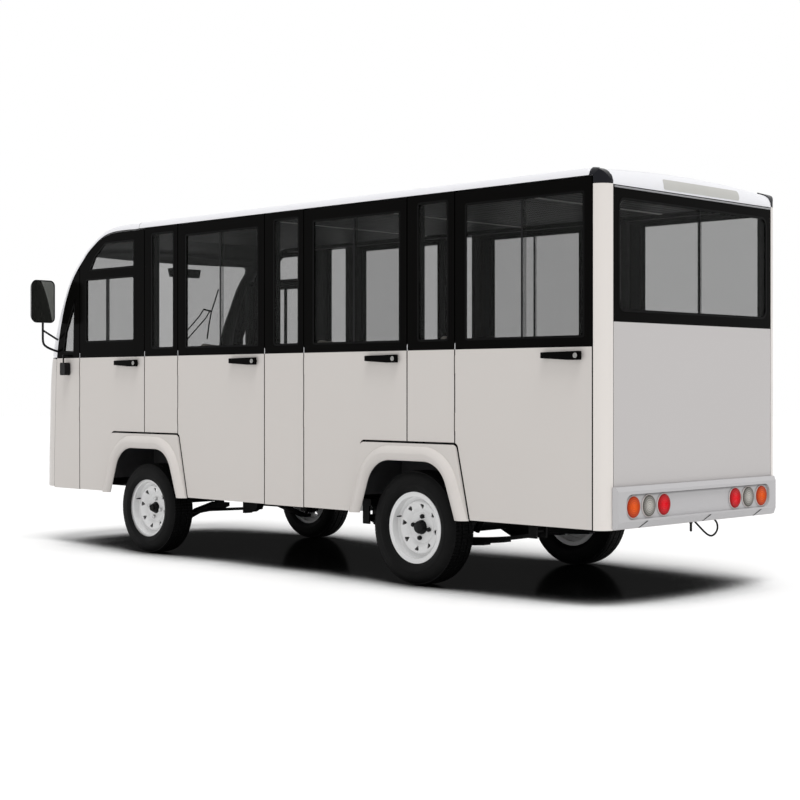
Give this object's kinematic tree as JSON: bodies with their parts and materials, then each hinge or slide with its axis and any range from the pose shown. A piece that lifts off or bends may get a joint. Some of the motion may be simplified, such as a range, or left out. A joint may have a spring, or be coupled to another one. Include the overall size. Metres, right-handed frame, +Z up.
{
  "type": "enclosed electric sightseeing vehicle",
  "caption": "Enclosed low-speed electric sightseeing shuttle: hinged side doors, glazed cabin with bench rows, steered front wheels and driven rear axle.",
  "frame": {"origin": "on the ground under the middle of the vehicle's bounding box", "axes": "+X forward, +Y to the vehicle's left, +Z up"},
  "size_m": [4.8325, 1.892, 2.0747],
  "materials": {
    "white_paint": "gloss",
    "black_paint": "gloss",
    "tinted_glass": "clear",
    "clear_glass": "clear",
    "rubber": "matte",
    "chassis_black": "satin",
    "dark_trim": "matte",
    "ceiling_board": "satin",
    "seat_vinyl": "satin",
    "floor_mat": "matte",
    "lamp_lens": "gloss",
    "headlamp_lens": "gloss",
    "battery_case": "matte",
    "motor_case": "cast"
  },
  "bodies": {
    "body": {"battery_pack": "battery_case", "ceiling": "ceiling_board", "chassis_frame": "chassis_black", "corner_posts": "white_paint", "dashboard": "dark_trim", "drive_motor": "motor_case", "driver_controls": "dark_trim", "fixed_side_panels": "white_paint", "fixed_windows": "clear_glass", "floor": "floor_mat", "front_fascia": "white_paint", "front_lamps": "headlamp_lens", "front_suspension": "chassis_black", "interior_mirror": "dark_trim", "mirrors": "black_paint", "rear_axle": "chassis_black", "rear_bumper": "white_paint", "rear_lamps": "lamp_lens", "rear_suspension": "chassis_black", "roof_corner_caps": "black_paint", "roof_shell": "white_paint", "seat_backs": "seat_vinyl", "seat_cushions": "seat_vinyl", "seat_risers": "dark_trim", "side_marker_lamps": "black_paint", "side_structure": "dark_trim", "tail_cable": "rubber", "tail_panel": "white_paint", "wheel_flares": "white_paint", "windscreen": "clear_glass", "windscreen_frame": "white_paint", "wiper": "dark_trim"},
    "front_door_left_body": {"front_door_glass_left": "tinted_glass", "front_door_left": "white_paint"},
    "front_door_right_body": {"front_door_glass_right": "tinted_glass", "front_door_right": "white_paint"},
    "front_wheel_left_assembly": {"front_tyre_left": "rubber", "front_wheel_left": "white_paint"},
    "front_wheel_right_assembly": {"front_tyre_right": "rubber", "front_wheel_right": "white_paint"},
    "knuckle_left_body": {"knuckle_left": "chassis_black"},
    "knuckle_right_body": {"knuckle_right": "chassis_black"},
    "rear_door_left_body": {"rear_door_glass_left": "tinted_glass", "rear_door_left": "white_paint"},
    "rear_door_right_body": {"rear_door_glass_right": "tinted_glass", "rear_door_right": "white_paint"},
    "rear_wheel_left_assembly": {"rear_tyre_left": "rubber", "rear_wheel_left": "white_paint"},
    "rear_wheel_right_assembly": {"rear_tyre_right": "rubber", "rear_wheel_right": "white_paint"},
    "second_door_left_body": {"second_door_glass_left": "tinted_glass", "second_door_left": "white_paint"},
    "second_door_right_body": {"second_door_glass_right": "tinted_glass", "second_door_right": "white_paint"},
    "steering_wheel_body": {"steering_wheel": "dark_trim"},
    "third_door_left_body": {"third_door_glass_left": "tinted_glass", "third_door_left": "white_paint"},
    "third_door_right_body": {"third_door_glass_right": "tinted_glass", "third_door_right": "white_paint"}
  },
  "joints": [
    {"name": "steering_wheel_turn", "type": "hinge", "parent": "body", "child": "steering_wheel_body", "pos_m": [1.6005, 0.36, 1.125], "axis": [-0.4695, 0, 0.8829], "range_deg": [-450, 450]},
    {"name": "steer_left", "type": "hinge", "parent": "body", "child": "knuckle_left_body", "pos_m": [1.1455, 0.58, 0.2765], "axis": [0, 0, 1], "range_deg": [-25, 25]},
    {"name": "front_wheel_left_spin", "type": "hinge", "parent": "knuckle_left_body", "child": "front_wheel_left_assembly", "pos_m": [1.1455, 0.6615, 0.2765], "axis": [0, 1, 0], "continuous": true},
    {"name": "rear_wheel_left_spin", "type": "hinge", "parent": "body", "child": "rear_wheel_left_assembly", "pos_m": [-1.1345, 0.648, 0.2975], "axis": [0, 1, 0], "continuous": true},
    {"name": "rear_door_left_swing", "type": "hinge", "parent": "body", "child": "rear_door_left_body", "pos_m": [-1.4505, 0.75, 1.2], "axis": [0, 0, -1], "range_deg": [0, 70]},
    {"name": "third_door_left_swing", "type": "hinge", "parent": "body", "child": "third_door_left_body", "pos_m": [-0.3165, 0.75, 1.2], "axis": [0, 0, -1], "range_deg": [0, 70]},
    {"name": "second_door_left_swing", "type": "hinge", "parent": "body", "child": "second_door_left_body", "pos_m": [0.8215, 0.75, 1.2], "axis": [0, 0, -1], "range_deg": [0, 70]},
    {"name": "front_door_left_swing", "type": "hinge", "parent": "body", "child": "front_door_left_body", "pos_m": [1.8635, 0.75, 1.2], "axis": [0, 0, -1], "range_deg": [0, 70]},
    {"name": "steer_right", "type": "hinge", "parent": "body", "child": "knuckle_right_body", "pos_m": [1.1455, -0.58, 0.2765], "axis": [0, 0, 1], "range_deg": [-25, 25]},
    {"name": "front_wheel_right_spin", "type": "hinge", "parent": "knuckle_right_body", "child": "front_wheel_right_assembly", "pos_m": [1.1455, -0.6615, 0.2765], "axis": [0, 1, 0], "continuous": true},
    {"name": "rear_wheel_right_spin", "type": "hinge", "parent": "body", "child": "rear_wheel_right_assembly", "pos_m": [-1.1345, -0.648, 0.2975], "axis": [0, 1, 0], "continuous": true},
    {"name": "rear_door_right_swing", "type": "hinge", "parent": "body", "child": "rear_door_right_body", "pos_m": [-1.4505, -0.75, 1.2], "axis": [0, 0, 1], "range_deg": [0, 70]},
    {"name": "third_door_right_swing", "type": "hinge", "parent": "body", "child": "third_door_right_body", "pos_m": [-0.3165, -0.75, 1.2], "axis": [0, 0, 1], "range_deg": [0, 70]},
    {"name": "second_door_right_swing", "type": "hinge", "parent": "body", "child": "second_door_right_body", "pos_m": [0.8215, -0.75, 1.2], "axis": [0, 0, 1], "range_deg": [0, 70]},
    {"name": "front_door_right_swing", "type": "hinge", "parent": "body", "child": "front_door_right_body", "pos_m": [1.8635, -0.75, 1.2], "axis": [0, 0, 1], "range_deg": [0, 70]}
  ],
  "couplings": [
    {"joint": "steer_left", "follows": "steering_wheel_turn", "ratio": 0.055556},
    {"joint": "steer_right", "follows": "steering_wheel_turn", "ratio": 0.055556}
  ]
}
